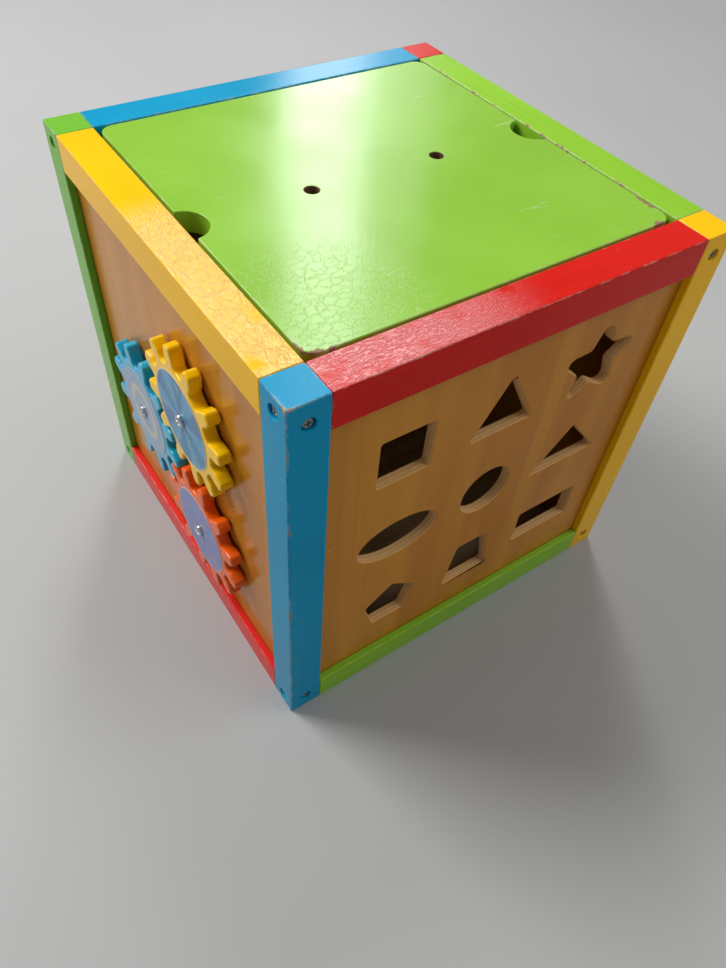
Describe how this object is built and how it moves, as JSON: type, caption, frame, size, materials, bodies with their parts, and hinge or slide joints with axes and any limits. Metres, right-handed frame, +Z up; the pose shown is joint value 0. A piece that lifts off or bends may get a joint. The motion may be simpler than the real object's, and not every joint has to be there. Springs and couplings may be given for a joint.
{
  "type": "shape sorter cube",
  "caption": "Framed wooden activity cube: a sorter panel with shaped holes and loose blocks, meshing gears, sliding beads, a toy clock and a lift-off lid with finger notches.",
  "frame": {"origin": "middle of the cube, on the floor it stands on", "axes": "+Z up; the sorter panel faces -Y, the gears face -X, the beads face +X and the clock faces +Y"},
  "size_m": [0.3574, 0.34, 0.34],
  "materials": {
    "blue_paint": "glossy paint on wood",
    "yellow_paint": "glossy paint on wood",
    "red_paint": "glossy paint on wood",
    "green_paint": "glossy paint on wood, finely scratched",
    "lime_paint": "glossy paint on wood",
    "panel_ply": "varnished plywood",
    "bare_wood": "plain sanded wood",
    "orange_paint": "glossy paint on wood",
    "gear_blue_paint": "glossy paint on wood",
    "print_teal": "printed disc with coloured rays",
    "print_pastel": "printed disc with pale rings",
    "print_violet": "printed disc with coloured specks",
    "dial_print": "printed dial with plain hour dots",
    "screw_steel": "plated steel",
    "rod_steel": "plated steel"
  },
  "bodies": {
    "frame": {"post_front_left": "blue_paint", "post_front_right": "yellow_paint", "post_back_left": "green_paint", "post_back_right": "red_paint", "rail_top_front": "red_paint", "rail_top_left": "yellow_paint", "rail_top_back": "blue_paint", "rail_top_right": "green_paint", "rail_bottom_front": "lime_paint", "rail_bottom_left": "red_paint", "rail_bottom_back": "yellow_paint", "rail_bottom_right": "blue_paint", "frame_screws": "screw_steel", "panel_sorter": "panel_ply", "panel_gears": "panel_ply", "panel_clock": "panel_ply", "panel_beads": "panel_ply", "floor_board": "bare_wood", "ledge_front": "bare_wood", "ledge_back": "bare_wood", "gear_washers": "screw_steel", "gear_screws": "screw_steel", "bead_rods": "rod_steel", "clock_dial": "dial_print", "clock_screw": "screw_steel"},
    "lid": {"lid": "green_paint"},
    "blue_gear": {"gear_blue": "gear_blue_paint", "print_blue_gear": "print_pastel"},
    "yellow_gear": {"gear_yellow": "yellow_paint", "print_yellow_gear": "print_teal"},
    "orange_gear": {"gear_orange": "orange_paint", "print_orange_gear": "print_violet"},
    "top_bead_row": {"beads_top": "red_paint"},
    "middle_bead_row": {"beads_middle": "yellow_paint"},
    "bottom_bead_row": {"beads_bottom": "blue_paint"},
    "hour_pointer": {"hour_hand": "red_paint"},
    "minute_pointer": {"minute_hand": "blue_paint"},
    "square_block": {"block_square": "blue_paint"},
    "triangle_block": {"block_triangle": "green_paint"},
    "star_block": {"block_star": "yellow_paint"},
    "oval_block": {"block_oval": "blue_paint"},
    "round_block": {"block_round": "green_paint"},
    "wedge_block": {"block_wedge": "yellow_paint"},
    "pentagon_block": {"block_pentagon": "red_paint"},
    "trapezoid_block": {"block_trapezoid": "yellow_paint"},
    "rectangle_block": {"block_rectangle": "red_paint"}
  },
  "joints": [
    {"name": "lid_lift", "type": "slide", "parent": "frame", "child": "lid", "axis": [0, 0, 1], "range_m": [0, 0.2]},
    {"name": "blue_gear_spin", "type": "hinge", "parent": "frame", "child": "blue_gear", "pos_m": [-0.1704, 0.0491, 0.1587], "axis": [1, 0, 0], "continuous": true},
    {"name": "yellow_gear_spin", "type": "hinge", "parent": "frame", "child": "yellow_gear", "pos_m": [-0.1704, -0.03531, 0.22116], "axis": [1, 0, 0], "continuous": true},
    {"name": "orange_gear_spin", "type": "hinge", "parent": "frame", "child": "orange_gear", "pos_m": [-0.1704, -0.03795, 0.09999], "axis": [1, 0, 0], "continuous": true},
    {"name": "top_beads_slide", "type": "slide", "parent": "frame", "child": "top_bead_row", "axis": [0, 1, 0], "range_m": [0, 0.178]},
    {"name": "middle_beads_slide", "type": "slide", "parent": "frame", "child": "middle_bead_row", "axis": [0, 1, 0], "range_m": [0, 0.178]},
    {"name": "bottom_beads_slide", "type": "slide", "parent": "frame", "child": "bottom_bead_row", "axis": [0, 1, 0], "range_m": [0, 0.178]},
    {"name": "hour_hand_turn", "type": "hinge", "parent": "frame", "child": "hour_pointer", "pos_m": [0, 0.1653, 0.17], "axis": [0, 1, 0], "continuous": true},
    {"name": "minute_hand_turn", "type": "hinge", "parent": "frame", "child": "minute_pointer", "pos_m": [0, 0.1673, 0.17], "axis": [0, 1, 0], "continuous": true},
    {"name": "square_block_lift", "type": "slide", "parent": "frame", "child": "square_block", "axis": [0, 0, 1], "range_m": [0, 0.25]},
    {"name": "triangle_block_lift", "type": "slide", "parent": "frame", "child": "triangle_block", "axis": [0, 0, 1], "range_m": [0, 0.25]},
    {"name": "star_block_lift", "type": "slide", "parent": "frame", "child": "star_block", "axis": [0, 0, 1], "range_m": [0, 0.25]},
    {"name": "oval_block_lift", "type": "slide", "parent": "frame", "child": "oval_block", "axis": [0, 0, 1], "range_m": [0, 0.25]},
    {"name": "round_block_lift", "type": "slide", "parent": "frame", "child": "round_block", "axis": [0, 0, 1], "range_m": [0, 0.25]},
    {"name": "wedge_block_lift", "type": "slide", "parent": "frame", "child": "wedge_block", "axis": [0, 0, 1], "range_m": [0, 0.25]},
    {"name": "pentagon_block_lift", "type": "slide", "parent": "frame", "child": "pentagon_block", "axis": [0, 0, 1], "range_m": [0, 0.25]},
    {"name": "trapezoid_block_lift", "type": "slide", "parent": "frame", "child": "trapezoid_block", "axis": [0, 0, 1], "range_m": [0, 0.25]},
    {"name": "rectangle_block_lift", "type": "slide", "parent": "frame", "child": "rectangle_block", "axis": [0, 0, 1], "range_m": [0, 0.225]}
  ],
  "couplings": [
    {"joint": "yellow_gear_spin", "follows": "blue_gear_spin", "ratio": -1},
    {"joint": "orange_gear_spin", "follows": "blue_gear_spin", "ratio": -1}
  ]
}
